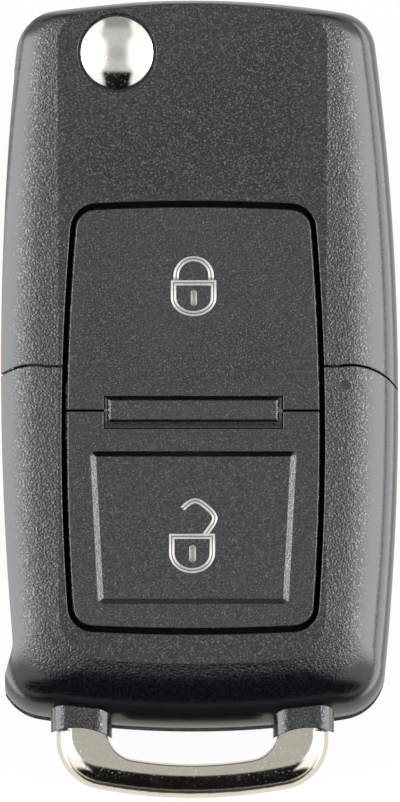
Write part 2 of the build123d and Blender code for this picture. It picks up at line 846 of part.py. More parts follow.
def make_remote_rear():
    """Lower half of the remote section, with the cell's seat and the posts under the board."""
    below = prism(seam_region(False, -seam_gap / 2), 0, outer)
    shell = (case_shell(False) + collars(False)) & below
    floor = case_wall - bite
    ring_radius = cell_radius + cell_play + cell_ring_wall
    ring = disc(cell_x, cell_y, ring_radius, floor, cell_low + cell_ring_height)
    ring -= disc(cell_x, cell_y, cell_radius - cell_seat_width, case_wall, outer)
    inside = slab(-outer, outer, -case_length_down + case_wall, outer, 0, mid_level)
    body = shell + (ring & inside) - disc(cell_x, cell_y, cell_radius + cell_play, cell_low, outer)
    for x, y in board_stud_places():
        body += disc(x, y, stud_radius, floor, board_low_level)
    body -= slab(
        cell_x - contact_width / 2 - contact_play, cell_x + contact_width / 2 + contact_play,
        cell_y - ring_radius, cell_y - cell_radius + cell_play, cell_low, outer,
    )
    return body - loop_slots()


def make_circuit_board():
    plan = make_face(Polyline(
        (board_left, board_bottom + board_corner),
        (board_left + board_corner, board_bottom),
        (board_right - board_corner, board_bottom),
        (board_right, board_bottom + board_corner),
        (board_right, board_top),
        (board_tongue_half_width, board_top),
        (board_tongue_half_width, board_tongue_top),
        (-board_tongue_half_width, board_tongue_top),
        (-board_tongue_half_width, board_top),
        (board_left, board_top),
        close=True,
    ))
    return prism(plan, board_low_level, board_top_level)


def make_switch(y):
    """Square push switch on the board, bored for its plunger."""
    half = switch_size / 2
    body = slab(-half, half, y - half, y + half, board_top_level, switch_top)
    body = chamfer(body.edges().filter_by(Axis.Z), switch_edge)
    return body - disc(0, y, plunger_radius + plunger_gap, switch_top - plunger_depth, outer)


def make_plunger(y):
    foot = switch_top - plunger_depth + plunger_travel + plunger_gap
    return disc(0, y, plunger_radius, foot, plunger_top)


def on_board(x, y, length, width, low, height):
    """Block of this size about a place on the board."""
    return slab(x - length / 2, x + length / 2, y - width / 2, y + width / 2,
                board_top_level + low, board_top_level + height)


def make_control_chip():
    body = on_board(chip_x, chip_y, chip_length, chip_width, chip_lift, chip_height)
    body = chamfer(body.edges().filter_by(Axis.X), chip_edge)
    for index in range(chip_pin_count):
        pin_x = chip_x + (index - (chip_pin_count - 1) / 2) * chip_pitch
        body += on_board(pin_x, chip_y, chip_pin_width, chip_width + 2 * chip_pin_reach, 0, chip_pin_width)
    return body


def make_resonator():
    x, y = chip_x + chip_length / 2 - resonator_length / 2, chip_y + resonator_past_chip
    can = on_board(x, y, resonator_length, resonator_width, 0, resonator_height)
    return fillet(can.edges().filter_by(Axis.Z), resonator_corner)


def make_antenna_coil():
    x = chip_x + chip_length / 2 - coil_length / 2
    y = chip_y + resonator_past_chip + coil_past_resonator
    core = Pos(x, y, board_top_level + coil_radius) * Rot(0, 90, 0) * Cylinder(coil_radius, coil_length)
    return core + on_board(x, y, coil_length, coil_radius, 0, coil_radius)


def make_board_parts():
    """Small two-ended parts in a block on the board, beside the coil."""
    solids = []
    right = chip_x + chip_length / 2 - coil_length - passive_beside_coil
    for column in range(passive_columns):
        for row in range(passive_rows):
            x = right - passive_length / 2 - column * (passive_length + passive_gap)
            y = chip_y + passive_past_chip + row * (passive_width + passive_gap)
            solids.append(on_board(x, y, passive_length, passive_width, 0, passive_height).solid())
    return Compound(children=solids)


def make_coin_cell():
    """Cell with its smaller negative cap towards the board."""
    can = disc(cell_x, cell_y, cell_radius, cell_low, cell_high - cell_cap_height)
    can = fillet(can.edges().group_by(Axis.Z)[0], cell_edge)
    return can + disc(cell_x, cell_y, cell_radius - cell_cap_inset, cell_low + cell_edge, cell_high)


def make_positive_contact():
    """Angle strip that comes down from the board and presses on the side of the cell."""
    near = cell_y - cell_radius
    leg = slab(cell_x - contact_width / 2, cell_x + contact_width / 2,
               near - contact_thickness, near, cell_low + cell_edge, board_low_level)
    tab = slab(cell_x - contact_width / 2, cell_x + contact_width / 2,
               near - contact_tab, near, board_low_level - contact_thickness, board_low_level)
    return leg + tab


def make_negative_contact():
    """Leaf that slopes down from the board to the middle of the cell."""
    high, low = board_low_level, cell_high
    foot_end, foot_start = cell_y - contact_foot / 2, cell_y + contact_foot / 2
    bend = foot_start + contact_run
    tab_end = bend + contact_tab
    leaf = contact_thickness
    profile = make_face(Plane.YZ * Polyline(
        (tab_end, high), (bend, high), (foot_start, low + leaf), (foot_end, low + leaf),
        (foot_end, low), (foot_start - leaf / 2, low), (bend - leaf / 2, high - leaf),
        (tab_end, high - leaf), close=True,
    ))
    return Pos(cell_x - contact_width / 2, 0, 0) * extrude(profile, amount=contact_width, dir=(1, 0, 0))


parts = {
    "head_front": make_head_front(),
    "head_rear": make_head_rear(),
    "head_screw": make_head_screw(),
    "transponder": make_transponder(),
    "blade": make_blade(),
    "blade_hub": make_blade_hub(),
    "blade_pin": make_blade_pin(),
    "flip_spring": make_flip_spring(),
    "release_button": make_release_button(),
    "remote_front": make_remote_front(),
    "remote_rear": make_remote_rear(),
    "lock_key": make_lock_key(),
    "unlock_key": make_unlock_key(),
    "key_bridge": make_key_bridge(),
    "key_gasket": make_key_gasket(),
    "circuit_board": make_circuit_board(),
    "lock_switch": make_switch(lock_switch_y),
    "unlock_switch": make_switch(unlock_switch_y),
    "lock_plunger": make_plunger(lock_switch_y),
    "unlock_plunger": make_plunger(unlock_switch_y),
    "control_chip": make_control_chip(),
    "resonator": make_resonator(),
    "antenna_coil": make_antenna_coil(),
    "board_parts": make_board_parts(),
    "coin_cell": make_coin_cell(),
    "positive_contact": make_positive_contact(),
    "negative_contact": make_negative_contact(),
    "key_ring_loop": make_key_ring_loop(),
}

os.makedirs("parts", exist_ok=True)
for name, part in parts.items():
    export_step(part, f"parts/{name}.step")
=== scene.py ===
"""Finishes, key symbols and stage of a folding key remote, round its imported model."""

from math import cos, pi, radians, sin

import bmesh
import bpy
from bpy.props import FloatProperty, FloatVectorProperty, PointerProperty
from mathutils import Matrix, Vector


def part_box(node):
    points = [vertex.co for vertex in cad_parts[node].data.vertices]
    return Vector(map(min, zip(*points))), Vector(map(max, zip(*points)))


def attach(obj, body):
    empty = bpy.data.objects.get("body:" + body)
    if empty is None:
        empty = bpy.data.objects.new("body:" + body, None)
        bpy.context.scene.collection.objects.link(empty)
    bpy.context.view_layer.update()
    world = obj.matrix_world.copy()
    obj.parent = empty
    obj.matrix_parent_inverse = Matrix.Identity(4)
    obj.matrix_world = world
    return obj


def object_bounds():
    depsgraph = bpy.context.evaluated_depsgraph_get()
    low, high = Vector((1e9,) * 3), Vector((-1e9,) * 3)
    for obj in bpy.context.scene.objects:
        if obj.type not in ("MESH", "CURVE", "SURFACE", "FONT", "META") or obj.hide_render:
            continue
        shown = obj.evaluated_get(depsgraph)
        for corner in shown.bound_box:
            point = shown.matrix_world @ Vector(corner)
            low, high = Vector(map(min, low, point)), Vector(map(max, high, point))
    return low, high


bl_info = {
    "name": "Folding Key Remote",
    "version": (1, 0, 0),
    "blender": (4, 5, 0),
    "location": "3D View > Sidebar > Key Remote",
    "description": "Finishes, key symbols and stage of a folding key remote",
    "category": "Object",
}

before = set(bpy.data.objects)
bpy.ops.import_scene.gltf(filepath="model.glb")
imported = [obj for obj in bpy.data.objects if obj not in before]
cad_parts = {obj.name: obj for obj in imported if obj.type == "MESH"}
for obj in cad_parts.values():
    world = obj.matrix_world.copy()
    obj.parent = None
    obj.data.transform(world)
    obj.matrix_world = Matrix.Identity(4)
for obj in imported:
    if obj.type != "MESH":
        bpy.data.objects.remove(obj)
CAD_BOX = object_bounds()

# Scale of the key face: millimetres for one picture element, the face's centre in the picture, and
# the picture's size. Places on the face are written in picture elements, as (across, down).
MM_PER_PX = 0.096
CENTRE_PX = (192.5, 399.5)
PICTURE_PX = (400, 802)

# Padlocks on the keys
LOCK_BODY = {"left": 173.7, "right": 213.6, "top": 283.6, "bend": 298.2, "bottom": 314.2}
LOCK_KEYHOLE = {"left": 190.8, "right": 197.0, "top": 290.2, "bottom": 306.8}
LOCK_SHACKLE = {"middle": (193.7, 276.8), "half_width": 17.4, "height": 17.2, "foot": 281.5}
UNLOCK_BODY = {"left": 171.9, "right": 212.3, "top": 535.6, "bend": 552.0, "bottom": 569.7}
UNLOCK_KEYHOLE = {"left": 189.2, "right": 196.0, "top": 543.8, "bottom": 561.6}
UNLOCK_SHACKLE = (
    (182.8, 508.0), (188.0, 503.2), (194.2, 500.3), (200.0, 501.6), (206.3, 506.2), (212.0, 511.6),
    (214.8, 517.0), (213.2, 522.6), (209.3, 528.2), (204.8, 534.4),
)
UNLOCK_MIDDLE = (192, 545)
CURVE_STEPS = {"body": 28, "shackle": 24, "keyhole": 8, "open_shackle": 5}

# Groove round the keys: its middle, and a place on the key face from which depths are counted.
# In millimetres: where the search for its sides begins, its depth and widths, and the black strip of painted
# shade in it.
GROOVE_MIDDLE = (192.5, 417.8)
KEY_FACE_PLACE = (192.5, 240)
GROOVE_REACH = (13.4, 21.4)
GROOVE_DEPTH = 0.9
GROOVE_WIDTHS = (0.3, 1.6)
SEARCH_STEP, SEARCH_STEPS = 0.02, 200
GROOVE_SHADE_BOTTOM, GROOVE_SHADE_THICKNESS = 1.66, 0.1
GROOVE_SHADE_TURNS = 360

# Seam of the case over the blade: where it is looked for, how many open rows belong to a seam, and,
# in millimetres, how far above the blade still counts as open, and the black strip of painted shade
SEAM_COLUMNS = range(9, 28)
SEAM_ROWS = [360 + row * 0.2 for row in range(100)]
SEAM_OPEN_ROWS = (2, 16)
BLADE_MARGIN = 0.1
SEAM_SHADE_WIDTH, SEAM_SHADE_HEIGHT, SEAM_SHADE_LIFT = 0.16, 0.5, 0.6

# Ejector mark beside the keys, its sizes in millimetres
MARK_PLACE = (344.5, 385)
MARK_RADIUS, MARK_RISE, MARK_MIDDLE_SHARE = 0.50, 0.02, 0.3
MARK_RINGS, MARK_TURNS = 5, 32

# Stage, in metres
FLOOR_RADIUS = 1.6
CARD_CORNERS = ((-0.07, -0.42), (0.07, -0.42), (0.055, -0.058), (-0.055, -0.058))
CARD_LEVEL = 0.0004
STRIP_SIZE = (0.08, 0.11)
STRIP_PLACE = (0.072, 0, 0.0005)
STRIP_SHARE = 0.45
SENSOR_HEIGHT = 36


def mm(value):
    return value / 1000


def srgb(red, green, blue):
    """Linear colour of screen values from 0 to 255."""
    def linear(value):
        value /= 255
        return value / 12.92 if value <= 0.04045 else ((value + 0.055) / 1.055) ** 2.4
    return linear(red), linear(green), linear(blue)


def on_face(px, py):
    """Place on the key face, in metres, of a point in the picture."""
    return mm((px - CENTRE_PX[0]) * MM_PER_PX), mm((CENTRE_PX[1] - py) * MM_PER_PX)


# Settings


def colour_setting(name, description, default):
    return FloatVectorProperty(name=name, description=description, subtype="COLOR", size=3,
                               min=0, max=1, default=default)


def length_setting(name, description, default_mm):
    return FloatProperty(name=name, description=description, subtype="DISTANCE", unit="LENGTH",
                         precision=6, min=0, default=mm(default_mm))


def share_setting(name, description, default):
    return FloatProperty(name=name, description=description, subtype="FACTOR",
                         min=0, max=1, default=default)


class CaseSettings(bpy.types.PropertyGroup):
    colour: colour_setting("Colour", "Colour of the moulded case", srgb(8, 10, 15))
    key_colour: colour_setting("Key colour", "Colour of the keys and their bridge", srgb(11, 13, 19))
    gloss: share_setting("Gloss", "Strength of the plastic's reflections", 0.72)
    silicone_colour: colour_setting("Silicone colour", "Colour of the mat under the keys", srgb(7, 7, 8))
    grain: length_setting("Grain size", "Width of one grain of the eroded mould surface", 0.19)
    grain_height: length_setting("Grain height", "Height of the grain", 0.055)
    roughness: share_setting("Roughness", "Roughness of the moulded plastic", 0.20)


class MetalSettings(bpy.types.PropertyGroup):
    chrome: colour_setting("Chrome", "Colour of the button's chrome", srgb(250, 248, 243))
    loop: colour_setting("Loop", "Colour of the loop's warmer plating", srgb(250, 244, 230))
    steel: colour_setting("Steel", "Colour of the blade", srgb(186, 186, 184))
    zinc: colour_setting("Hub metal", "Colour of the cast hub", srgb(150, 151, 152))
    nickel: colour_setting("Nickel", "Colour of the cell and its contacts", srgb(205, 203, 196))
    chrome_roughness: share_setting("Chrome roughness", "Roughness of the chrome plating", 0.06)


class SymbolSettings(bpy.types.PropertyGroup):
    silver: colour_setting("Silver", "Colour of the symbols' metallic ink", srgb(206, 204, 200))
    line: length_setting("Line width", "Width of the symbols' lines", 0.51)
    height: length_setting("Height", "How far the lines stand out of the key", 0.09)


class StageSettings(bpy.types.PropertyGroup):
    floor: colour_setting("Floor", "Colour of the floor under the object", srgb(240, 240, 240))
    side_light: FloatProperty(name="Side lights", description="Brightness of the two side boxes",
                              min=0, default=4.6)
    overhead: FloatProperty(name="Overhead", description="Brightness of the surround overhead",
                            min=0, default=0.56)
    distance: FloatProperty(name="Camera distance", description="From the camera to the key face",
                            subtype="DISTANCE", unit="LENGTH", min=0.1, default=1.2)


class RemoteSettings(bpy.types.PropertyGroup):
    case: PointerProperty(type=CaseSettings)
    metal: PointerProperty(type=MetalSettings)
    symbol: PointerProperty(type=SymbolSettings)
    stage: PointerProperty(type=StageSettings)


# Node building


class Nodes:
    """Builder of the nodes of one tree."""

    def __init__(self, tree):
        self.tree = tree

    def put(self, kind, sockets=None, **options):
        """Adds a node, sets its options, and fills or links its sockets."""
        node = self.tree.nodes.new(kind)
        for name, value in options.items():
            setattr(node, name, value)
        for name, value in (sockets or {}).items():
            if isinstance(value, bpy.types.NodeSocket):
                self.tree.links.new(value, node.inputs[name])
            else:
                node.inputs[name].default_value = value
        return node

    def math(self, operation, first, second=0.0, third=0.0, clamp=False):
        return self.put("ShaderNodeMath", {0: first, 1: second, 2: third},
                        operation=operation, use_clamp=clamp).outputs["Value"]

    def spread(self, value, low, high, to_low=0.0, to_high=1.0):
        """Value mapped smoothly from one range to another."""
        return self.put("ShaderNodeMapRange", {
            "Value": value, "From Min": low, "From Max": high, "To Min": to_low, "To Max": to_high,
        }, interpolation_type="SMOOTHSTEP").outputs["Result"]

    def mix(self, share, first, second):
        """Mixture of two colours, each a socket or linear channels."""
        first, second = (
            colour if isinstance(colour, bpy.types.NodeSocket) else (*colour, 1) for colour in (first, second)
        )
        return self.put("ShaderNodeMix", {0: share, 6: first, 7: second}, data_type="RGBA").outputs[2]

    def split(self, vector):
        """The X, Y and Z sockets of a vector."""
        return self.put("ShaderNodeSeparateXYZ", {0: vector}).outputs


class Finish(Nodes):
    """One node material, built node by node."""

    def __init__(self, name, **fixed):
        self.material = bpy.data.materials.new(name)
        self.material.use_nodes = True
        super().__init__(self.material.node_tree)
        self.shader = self.tree.nodes["Principled BSDF"]
        for socket, value in fixed.items():
            socket = self.shader.inputs[socket.replace("_", " ")]
            socket.default_value = (*value, 1) if isinstance(value, tuple) else value
        self.place = self.put("ShaderNodeTexCoord").outputs["Object"]

    def link(self, value, socket):
        self.tree.links.new(value, self.shader.inputs[socket])

    def noise(self, size, detail=2.0, roughness=0.5, place=None):
        return self.put("ShaderNodeTexNoise", {
            "Vector": place or self.place, "Scale": 1 / size, "Detail": detail, "Roughness": roughness,
        }).outputs["Fac"]

    def cells(self, size, feature="F1"):
        return self.put("ShaderNodeTexVoronoi", {
            "Vector": self.place, "Scale": 1 / size,
        }, feature=feature).outputs["Distance"]

    def ramp(self, value, *stops):
        """Colour of a value, from stops of place and linear colour."""
        node = self.put("ShaderNodeValToRGB", {"Fac": value})
        band = node.color_ramp.elements
        while len(band) < len(stops):
            band.new(0.5)
        for element, (place, colour) in zip(band, stops):
            element.position = place
            element.color = (*colour, 1)
        return node.outputs["Color"]

    def scaled(self, x, y, z, centre=(0, 0, 0)):
        """Coordinates about a centre, stretched along each axis."""
        moved = self.put("ShaderNodeVectorMath", {0: self.place, 1: centre}, operation="SUBTRACT").outputs[0]
        return self.put("ShaderNodeMapping", {"Vector": moved, "Scale": (x, y, z)}).outputs["Vector"]

    def plain_normal(self):
        return self.put("ShaderNodeNewGeometry").outputs["Normal"]

    def soft_normal(self, radius):
        return self.put("ShaderNodeBevel", {"Radius": radius}, samples=6).outputs["Normal"]

    def edge_mask(self, soft, low=0.004, high=0.16):
        """1 on the edges that a rounding of the surface reaches, and 0 elsewhere."""
        plain = self.plain_normal()
        dot = self.put("ShaderNodeVectorMath", {0: soft, 1: plain}, operation="DOT_PRODUCT").outputs["Value"]
        return self.spread(self.math("SUBTRACT", 1.0, dot), low, high)

    def bump(self, height, distance, strength=1.0, normal=None):
        sockets = {"Height": height, "Distance": distance, "Strength": strength}
        if normal:
            sockets["Normal"] = normal
        return self.put("ShaderNodeBump", sockets).outputs["Normal"]


def shade(colour, factor):
    return tuple(min(1.0, channel * factor) for channel in colour)


# Finishes


def moulded(name, colour, grain, grain_height, roughness, edge_radius=0.12, smooth_sides=False,
            gloss=0.5):
    """Grained moulded plastic with rounded edges that carry a painted highlight, and glinting grains."""
    cool, grain_glint = (0.95, 0.965, 1.0), (0.124, 0.128, 0.136)
    finish = Finish(name, Specular_IOR_Level=gloss, IOR=1.6, Specular_Tint=cool)
    soft = finish.soft_normal(mm(edge_radius))
    fine = finish.noise(grain, detail=1.5, roughness=0.6)
    pits = finish.cells(grain * 1.5, feature="SMOOTH_F1")
    height = finish.math("MULTIPLY_ADD", fine, 1.0, finish.math("MULTIPLY", pits, 0.35))
    cloud = finish.noise(mm(7.0), detail=2.0)
    painted_edge_light = finish.edge_mask(soft)
    tint = finish.ramp(fine, (0.38, shade(colour, 0.5)), (0.52, shade(colour, 0.9)),
                       (0.68, shade(colour, 2.2)))
    tint = finish.mix(finish.spread(cloud, 0.35, 0.65, 0.0, 0.15), tint, shade(colour, 1.6))
    # Painted highlight: the rounded edges are lightened in colour, as if they caught the light.
    tint = finish.mix(finish.math("MULTIPLY", painted_edge_light, 0.35), tint, shade(colour, 9.0))
    strength = 1.0
    if smooth_sides:
        level = finish.math("ABSOLUTE", finish.split(finish.plain_normal())["Z"])
        strength = finish.spread(level, 0.84, 0.975, 0.10, 1.0)
    glint = finish.math("MULTIPLY_ADD", strength, 0.3, finish.noise(grain * 0.95, detail=0.0))
    glint = finish.spread(glint, 0.835, 0.875)
    finish.link(finish.mix(finish.spread(glint, 0.8, 1.0), tint, grain_glint), "Base Color")
    finish.link(glint, "Metallic")
    finish.link(finish.spread(fine, 0.3, 0.7, roughness - 0.04, roughness + 0.06), "Roughness")
    finish.link(finish.bump(height, grain_height, strength, soft), "Normal")
    return finish.material


def silicone(name, colour):
    """Matt rubber with a faint bloom."""
    finish = Finish(name, Sheen_Weight=0.04, Sheen_Roughness=0.6, Specular_IOR_Level=0.12)
    bloom = finish.noise(mm(1.8), detail=4.0, roughness=0.7)
    dust = finish.spread(finish.noise(mm(0.12)), 0.66, 0.74)
    tint = finish.ramp(bloom, (0.35, shade(colour, 0.7)), (0.7, shade(colour, 1.7)))
    finish.link(finish.mix(finish.math("MULTIPLY", dust, 0.4), tint, shade(colour, 5.0)), "Base Color")
    finish.link(finish.spread(bloom, 0.3, 0.7, 0.62, 0.8), "Roughness")
    finish.link(finish.bump(finish.noise(mm(0.2), detail=3.0), mm(0.01), 0.6), "Normal")
    return finish.material


def plated(name, colour, roughness, edge_radius=0.15, edge_shade=0.0):
    """Bright plating over a moulded core: faint waves, dust specks, tiny pits and painted edge shade."""
    edge_shade_colour = srgb(52, 40, 32)
    finish = Finish(name)
    soft = finish.soft_normal(mm(edge_radius))
    wave = finish.noise(mm(3.2), detail=1.0)
    smear = finish.noise(mm(1.6), detail=4.0, roughness=0.7, place=finish.scaled(1.0, 0.35, 1.0))
    speck = finish.spread(finish.noise(mm(0.22), detail=1.0), 0.66, 0.72)
    dust = finish.spread(finish.noise(mm(0.17), detail=0.0), 0.80, 0.84)
    tint = finish.mix(finish.spread(smear, 0.35, 0.7, 0.0, 0.25), colour, shade(colour, 0.84))
    tint = finish.mix(finish.math("MULTIPLY", speck, 0.30), tint, shade(colour, 0.45))
    # Painted shade: the edges are darkened towards a dark brown, where the rounding would turn dark.
    if edge_shade:
        edge = finish.edge_mask(soft, high=0.03)
        tint = finish.mix(finish.math("MULTIPLY", edge, edge_shade), tint, edge_shade_colour)
    finish.link(tint, "Base Color")
    finish.link(finish.spread(smear, 0.3, 0.75, roughness, roughness + 0.08), "Roughness")
    finish.link(finish.math("SUBTRACT", 1.0, finish.math("MULTIPLY", dust, 0.2)), "Metallic")
    pit = finish.math("MULTIPLY_ADD", speck, -0.5, wave)
    finish.link(finish.bump(pit, mm(0.03), 0.35, soft), "Normal")
    return finish.material


def brushed(name, colour, along=(1.0, 0.03, 1.0), size=0.05, roughness=0.26):
    """Metal with fine lines, drawn out along one direction, and edges lightened by a painted highlight."""
    finish = Finish(name, Metallic=1.0)
    soft = finish.soft_normal(mm(0.08))
    lines = finish.noise(mm(size), detail=4.0, roughness=0.75, place=finish.scaled(*along))
    stain = finish.noise(mm(2.6), detail=3.0)
    painted_edge_light = finish.edge_mask(soft)
    tint = finish.ramp(lines, (0.3, shade(colour, 0.72)), (0.5, colour), (0.7, shade(colour, 1.18)))
    tint = finish.mix(finish.spread(stain, 0.45, 0.75, 0.0, 0.3), tint, shade(colour, 0.7))
    # Painted highlight: the edges are lightened in colour, as if they caught the light.
    tint = finish.mix(finish.math("MULTIPLY", painted_edge_light, 0.6), tint, shade(colour, 1.3))
    finish.link(tint, "Base Color")
    finish.link(finish.spread(lines, 0.25, 0.75, roughness - 0.08, roughness + 0.14), "Roughness")
    finish.link(finish.bump(lines, mm(0.004), 0.8, soft), "Normal")
    return finish.material


def turned(name, colour, centre, pitch, roughness=0.28):
    """Metal with fine rings about a centre, as turning or drawing leaves them."""
    finish = Finish(name, Metallic=1.0)
    soft = finish.soft_normal(mm(0.08))
    around = finish.scaled(1.0, 1.0, 1.0, centre=centre)
    rings = finish.put("ShaderNodeTexWave", {
        "Vector": around, "Scale": 0.314 / mm(pitch), "Distortion": 1.2, "Detail": 2.0, "Detail Scale": 3.0,
    }, wave_type="RINGS", rings_direction="Z").outputs["Fac"]
    stain = finish.noise(mm(2.2), detail=4.0, roughness=0.65)
    painted_edge_light = finish.edge_mask(soft)
    tint = finish.mix(finish.math("MULTIPLY", rings, 0.35), shade(colour, 0.85), shade(colour, 1.08))
    tint = finish.mix(finish.spread(stain, 0.45, 0.75, 0.0, 0.35), tint, shade(colour, 0.66))
    # Painted highlight: the edges are lightened in colour, as if they caught the light.
    tint = finish.mix(finish.math("MULTIPLY", painted_edge_light, 0.6), tint, shade(colour, 1.25))
    finish.link(tint, "Base Color")
    finish.link(finish.spread(stain, 0.3, 0.7, roughness - 0.06, roughness + 0.14), "Roughness")
    finish.link(finish.bump(rings, mm(0.003), 0.6, soft), "Normal")
    return finish.material


def cast(name, colour):
    """Die cast metal with a grainy skin and a painted highlight on its edges."""
    finish = Finish(name, Metallic=1.0)
    soft = finish.soft_normal(mm(0.12))
    skin = finish.noise(mm(0.22), detail=4.0, roughness=0.7)
    stain = finish.noise(mm(1.9), detail=3.0)
    painted_edge_light = finish.edge_mask(soft)
    tint = finish.ramp(skin, (0.3, shade(colour, 0.7)), (0.55, colour), (0.75, shade(colour, 1.2)))
    tint = finish.mix(finish.spread(stain, 0.45, 0.7, 0.0, 0.35), tint, shade(colour, 0.62))
    # Painted highlight: the edges are lightened in colour, as if they caught the light.
    tint = finish.mix(finish.math("MULTIPLY", painted_edge_light, 0.7), tint, shade(colour, 1.4))
    finish.link(tint, "Base Color")
    finish.link(finish.spread(skin, 0.3, 0.7, 0.34, 0.54), "Roughness")
    finish.link(finish.bump(skin, mm(0.012), 0.8, soft), "Normal")
    return finish.material


def board_laminate(name):
    """Green solder mask over woven glass, with copper tracks and tinned pads."""
    mask, track, tin = srgb(20, 74, 48), srgb(34, 104, 62), srgb(190, 186, 178)
    finish = Finish(name, Coat_Weight=0.35, Coat_Roughness=0.12)
    warp, weft = (
        finish.put("ShaderNodeTexWave", {"Vector": finish.place, "Scale": 620.0}, bands_direction=way)
        for way in ("X", "Y")
    )
    cloth = finish.math("MULTIPLY", warp.outputs["Fac"], weft.outputs["Fac"])
    lanes = finish.put("ShaderNodeTexBrick", {
        "Vector": finish.place, "Scale": 1.0, "Brick Width": mm(3.6), "Row Height": mm(1.1),
        "Mortar Size": mm(0.12), "Mortar Smooth": 0.15,
    }).outputs["Fac"]
    holes = finish.spread(finish.cells(mm(2.9)), 0.085, 0.1, 1.0, 0.0)
    tint = finish.mix(finish.math("MULTIPLY", cloth, 0.4), mask, shade(mask, 1.5))
    tint = finish.mix(lanes, tint, track)
    tint = finish.mix(holes, tint, tin)
    finish.link(tint, "Base Color")
    finish.link(finish.math("MULTIPLY", holes, 0.9), "Metallic")
    finish.link(finish.spread(cloth, 0.0, 1.0, 0.3, 0.4), "Roughness")
    height = finish.math("MULTIPLY_ADD", lanes, 0.6, finish.math("MULTIPLY", cloth, 0.2))
    finish.link(finish.bump(height, mm(0.02), 0.7, finish.soft_normal(mm(0.08))), "Normal")
    return finish.material


def moulded_chip(name, colour, low, high, pin_colour):
    """Black epoxy body between tinned legs, told apart by how far out they reach."""
    finish = Finish(name)
    soft = finish.soft_normal(mm(0.06))
    grit = finish.noise(mm(0.07), detail=3.0, roughness=0.7)
    along = finish.split(finish.place)["Y"]
    below = finish.spread(along, low, low + mm(0.02), 1.0, 0.0)
    above = finish.spread(along, high - mm(0.02), high)
    leg = finish.math("ADD", below, above, clamp=True)
    body = finish.ramp(grit, (0.3, shade(colour, 0.7)), (0.7, shade(colour, 1.6)))
    metal = finish.ramp(grit, (0.3, shade(pin_colour, 0.8)), (0.7, pin_colour))
    finish.link(finish.mix(leg, body, metal), "Base Color")
    finish.link(leg, "Metallic")
    finish.link(finish.spread(grit, 0.3, 0.7, 0.42, 0.62), "Roughness")
    finish.link(finish.bump(grit, mm(0.006), 0.7, soft), "Normal")
    return finish.material


def small_parts(name, columns, cap):
    """Ceramic bodies with tinned ends: columns are the middles of the bodies along X."""
    ceramic, tin = srgb(168, 142, 112), srgb(200, 198, 192)
    finish = Finish(name)
    grit = finish.noise(mm(0.08), detail=3.0)
    across = finish.split(finish.place)["X"]
    near = None
    for middle in columns:
        gap = finish.math("ABSOLUTE", finish.math("SUBTRACT", across, middle))
        near = gap if near is None else finish.math("MINIMUM", near, gap)
    end = finish.spread(near, cap - mm(0.02), cap + mm(0.02))
    body = finish.ramp(grit, (0.3, shade(ceramic, 0.8)), (0.7, ceramic))
    finish.link(finish.mix(end, body, tin), "Base Color")
    finish.link(end, "Metallic")
    finish.link(finish.spread(grit, 0.3, 0.7, 0.28, 0.5), "Roughness")
    finish.link(finish.bump(grit, mm(0.006), 0.6, finish.soft_normal(mm(0.05))), "Normal")
    return finish.material


def wound_coil(name, start, end):
    """Ferrite bar with a copper winding between two places along X."""
    ferrite, copper = srgb(58, 56, 58), srgb(184, 106, 62)
    finish = Finish(name)
    grit = finish.noise(mm(0.12), detail=4.0)
    across = finish.split(finish.place)["X"]
    wire = finish.put("ShaderNodeTexWave", {"Vector": finish.place, "Scale": 1700.0, "Distortion": 0.4},
                      bands_direction="X").outputs["Fac"]
    wound = finish.math("MULTIPLY", finish.spread(across, start, start + mm(0.03)),
                        finish.spread(across, end - mm(0.03), end, 1.0, 0.0))
    turns = finish.ramp(wire, (0.1, shade(copper, 0.35)), (0.7, copper))
    bar = finish.ramp(grit, (0.3, shade(ferrite, 0.7)), (0.7, ferrite))
    finish.link(finish.mix(wound, bar, turns), "Base Color")
    finish.link(finish.math("MULTIPLY", wound, 0.9), "Metallic")
    finish.link(finish.spread(grit, 0.3, 0.7, 0.3, 0.5), "Roughness")
    finish.link(finish.bump(finish.math("MULTIPLY", wire, wound), mm(0.03), 0.8), "Normal")
    return finish.material


def fired_block(name, colour):
    """Dark fired block with a smooth, slightly mottled skin."""
    finish = Finish(name, Coat_Weight=0.15, Coat_Roughness=0.3)
    soft = finish.soft_normal(mm(0.1))
    mottle = finish.noise(mm(0.5), detail=5.0, roughness=0.7)
    painted_edge_light = finish.edge_mask(soft)
    tint = finish.ramp(mottle, (0.3, shade(colour, 0.6)), (0.7, shade(colour, 1.5)))
    # Painted highlight: the edges are lightened in colour, as if they caught the light.
    finish.link(finish.mix(finish.math("MULTIPLY", painted_edge_light, 0.4), tint, shade(colour, 2.6)), "Base Color")
    finish.link(finish.spread(mottle, 0.3, 0.7, 0.32, 0.5), "Roughness")
    finish.link(finish.bump(mottle, mm(0.01), 0.5, soft), "Normal")
    return finish.material


def metallic_ink(name, colour):
    """Metallic ink on a raised line: tiny flakes, and thinner in patches."""
    finish = Finish(name, Metallic=0.5)
    flake = finish.noise(mm(0.05), detail=3.0, roughness=0.7)
    patch = finish.noise(mm(0.6), detail=2.0)
    tint = finish.ramp(flake, (0.3, shade(colour, 0.8)), (0.6, colour))
    tint = finish.mix(finish.spread(patch, 0.4, 0.7, 0.0, 0.25), tint, shade(colour, 0.75))
    finish.link(tint, "Base Color")
    finish.link(finish.spread(flake, 0.3, 0.7, 0.16, 0.34), "Roughness")
    finish.link(finish.bump(flake, mm(0.004), 0.5), "Normal")
    return finish.material


def dress(material, *nodes):
    """Gives CAD nodes one material in all their slots."""
    for name in nodes:
        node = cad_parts[name]
        node.data.materials.clear()
        node.data.materials.append(material)


# Shapes of the added pieces


